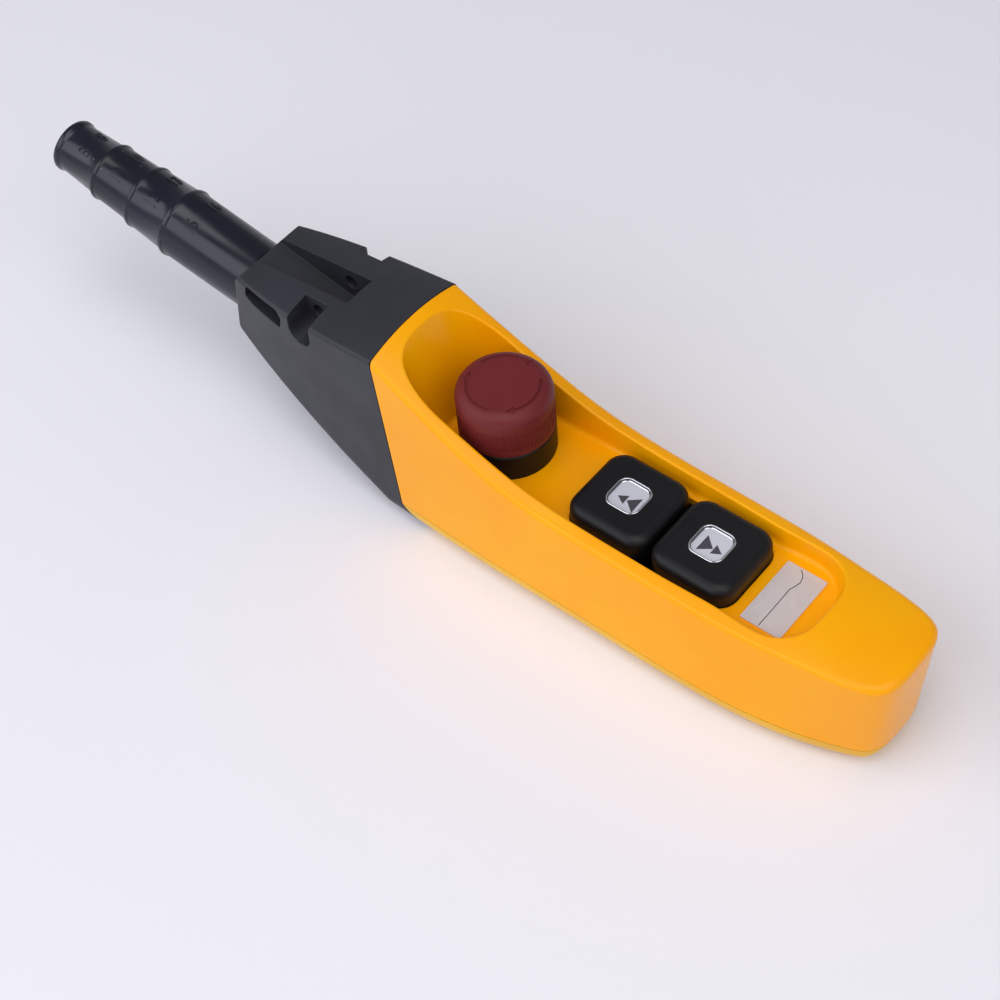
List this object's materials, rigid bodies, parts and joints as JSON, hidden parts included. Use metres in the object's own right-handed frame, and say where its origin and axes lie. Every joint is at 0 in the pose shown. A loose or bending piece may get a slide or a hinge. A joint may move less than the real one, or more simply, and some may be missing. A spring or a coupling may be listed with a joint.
{
  "type": "crane pendant control",
  "caption": "Hand-held crane pendant: yellow boat-shaped casing with a red turn-to-release stop button, square direction keys in a trough, black head and stepped cable boot.",
  "frame": {"origin": "on the flat back, in the plane of symmetry, midway between the boot's tip and the blunt lower end", "axes": "+X from the cable boot to the blunt lower end, +Z out of the buttons, +Y to the right of a user who looks at the buttons with the cable boot uppermost"},
  "size_m": [0.3333, 0.049, 0.0707],
  "materials": {
    "yellow_shell": "glossy moulded amber-yellow",
    "yellow_back": "satin moulded yellow",
    "seal_rubber": "soft seal strip",
    "head_black": "fine matt grain",
    "boot_rubber": "smooth rubber with a soft sheen",
    "key_rubber": "smooth rubber",
    "collar_black": "satin moulded",
    "stop_red": "satin moulded dark red",
    "lens_grey": "polished light grey inset",
    "label_metal": "brushed and printed sheet",
    "inner_black": "glass-filled moulding",
    "inner_white": "acetal moulding",
    "plate_steel": "zinc plated sheet",
    "steel_zinc": "zinc plated",
    "spring_steel": "drawn wire",
    "contact_brass": "stamped strip"
  },
  "bodies": {
    "housing": {"front_housing": "yellow_shell", "rear_cover": "yellow_back", "cover_seal": "seal_rubber", "head_cover": "head_black", "cable_boot": "boot_rubber", "cable_clamp": "inner_black", "cable_clamp_screws": "steel_zinc", "head_screws": "steel_zinc", "rear_cover_screws": "steel_zinc", "plate_screws": "steel_zinc", "mounting_plate": "plate_steel", "label_plate": "label_metal", "stop_collar": "collar_black", "stop_locknut": "inner_black", "stop_spring": "spring_steel", "stop_contact_block": "inner_black", "stop_contacts": "contact_brass", "stop_terminal_screws": "steel_zinc", "up_spring": "spring_steel", "up_switch": "inner_black", "up_contacts": "contact_brass", "up_terminal_screws": "steel_zinc", "down_spring": "spring_steel", "down_switch": "inner_black", "down_contacts": "contact_brass", "down_terminal_screws": "steel_zinc"},
    "stop_plunger": {"stop_shaft": "inner_white", "stop_bridge": "contact_brass"},
    "stop_head": {"stop_cap": "stop_red"},
    "up_button": {"up_key": "key_rubber", "up_lens": "lens_grey", "up_plunger": "inner_white", "up_bridge": "contact_brass"},
    "down_button": {"down_key": "key_rubber", "down_lens": "lens_grey", "down_plunger": "inner_white", "down_bridge": "contact_brass"}
  },
  "joints": [
    {"name": "stop_lift", "type": "slide", "parent": "housing", "child": "stop_plunger", "axis": [0, 0, 1], "range_m": [0, 0.005], "deforming": ["stop_spring"]},
    {"name": "stop_turn", "type": "hinge", "parent": "stop_plunger", "child": "stop_head", "pos_m": [0.02, 0, 0.055], "axis": [0, 0, 1], "range_deg": [-40, 0], "stiffness_Nm_per_rad": 0.02, "springref_deg": 2.86},
    {"name": "up_press", "type": "slide", "parent": "housing", "child": "up_button", "axis": [0, 0, -1], "range_m": [0, 0.003], "stiffness_N_per_m": 400, "springref_m": -0.004, "deforming": ["up_spring"]},
    {"name": "down_press", "type": "slide", "parent": "housing", "child": "down_button", "axis": [0, 0, -1], "range_m": [0, 0.003], "stiffness_N_per_m": 400, "springref_m": -0.004, "deforming": ["down_spring"]}
  ]
}
